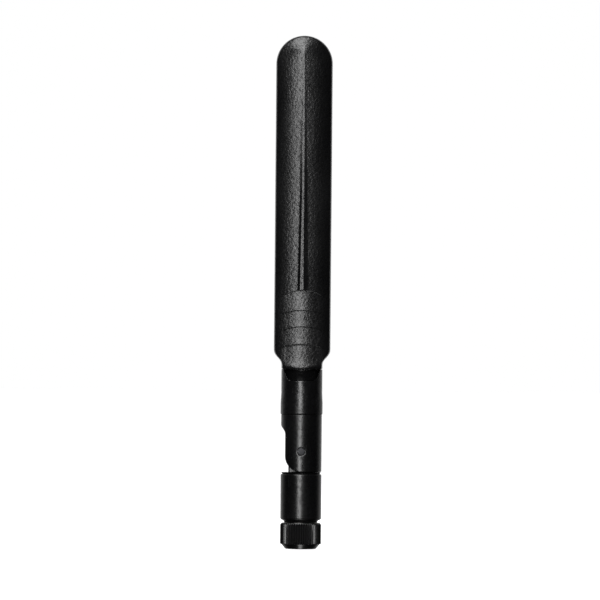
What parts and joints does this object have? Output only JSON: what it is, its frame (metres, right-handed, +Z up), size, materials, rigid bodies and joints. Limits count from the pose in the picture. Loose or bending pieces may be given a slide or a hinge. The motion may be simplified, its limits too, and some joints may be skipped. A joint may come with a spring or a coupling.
{
  "type": "omnidirectional antenna",
  "caption": "Paddle-shaped omnidirectional antenna with a knurled coupling nut, a swivelling collar and a tilting hinge below a long round-ended blade.",
  "frame": {"origin": "centre of the coupling nut's mouth, where the plug meets the device", "axes": "+Z up the antenna towards its round tip, -Y the front of the blade, -X the side that the blade tilts to"},
  "size_m": [0.0138, 0.011, 0.1251],
  "materials": {
    "blade_plastic": "fine spark-eroded grain, matte black",
    "neck_plastic": "satin black with light scuffs",
    "hinge_plastic": "smooth satin black",
    "grip_plastic": "knurled satin black",
    "pin_metal": "black oxide",
    "nut_metal": "bright nickel plate on brass",
    "shell_gold": "gold plate",
    "contact_gold": "gold plate",
    "spring_bronze": "phosphor bronze",
    "ptfe": "waxy white",
    "seal_rubber": "matte black",
    "washer_nylon": "natural nylon",
    "ferrule_metal": "nickel plate",
    "board_fr4": "green solder mask on glass epoxy",
    "board_copper": "bare copper",
    "solder": "bright solder",
    "cable_jacket": "smooth black",
    "cable_braid": "tinned braid",
    "cable_core": "white dielectric",
    "cable_wire": "silver-plated wire",
    "shrink_plastic": "heat-shrink tube",
    "foam": "soft closed-cell foam"
  },
  "bodies": {
    "connector": {"connector_body": "shell_gold", "insulator": "ptfe", "center_contact": "contact_gold", "coupling_ring": "spring_bronze", "swivel_ring": "spring_bronze", "swivel_o_ring": "seal_rubber", "thrust_washer": "washer_nylon", "crimp_ferrule": "ferrule_metal", "braid_lower": "cable_braid", "cable_lower": "cable_jacket", "dielectric_lower": "cable_core", "conductor_lower": "cable_wire"},
    "nut": {"coupling_nut": "nut_metal", "grip_sleeve": "grip_plastic"},
    "swivel_base": {"base_housing": "hinge_plastic", "cable_hinge_span": "cable_jacket"},
    "blade": {"hinge_fork": "hinge_plastic", "hinge_pins": "pin_metal", "hinge_washers": "washer_nylon", "neck_sleeve": "neck_plastic", "radome_front": "blade_plastic", "radome_rear": "blade_plastic", "antenna_board": "board_fr4", "upper_radiator": "board_copper", "lower_radiator": "board_copper", "solder_joints": "solder", "cable_upper": "cable_jacket", "braid_upper": "cable_braid", "dielectric_upper": "cable_core", "conductor_upper": "cable_wire", "heat_shrink": "shrink_plastic", "foam_pads": "foam"}
  },
  "joints": [
    {"name": "nut_spin", "type": "hinge", "parent": "connector", "child": "nut", "pos_m": [0, 0, 0.003], "axis": [0, 0, 1], "continuous": true},
    {"name": "base_swivel", "type": "hinge", "parent": "connector", "child": "swivel_base", "pos_m": [0, 0, 0.0127], "axis": [0, 0, 1], "range_deg": [-180, 180]},
    {"name": "tilt", "type": "hinge", "parent": "swivel_base", "child": "blade", "pos_m": [0, 0, 0.0238], "axis": [0, -1, 0], "range_deg": [0, 90], "deforming": ["cable_hinge_span"]}
  ]
}
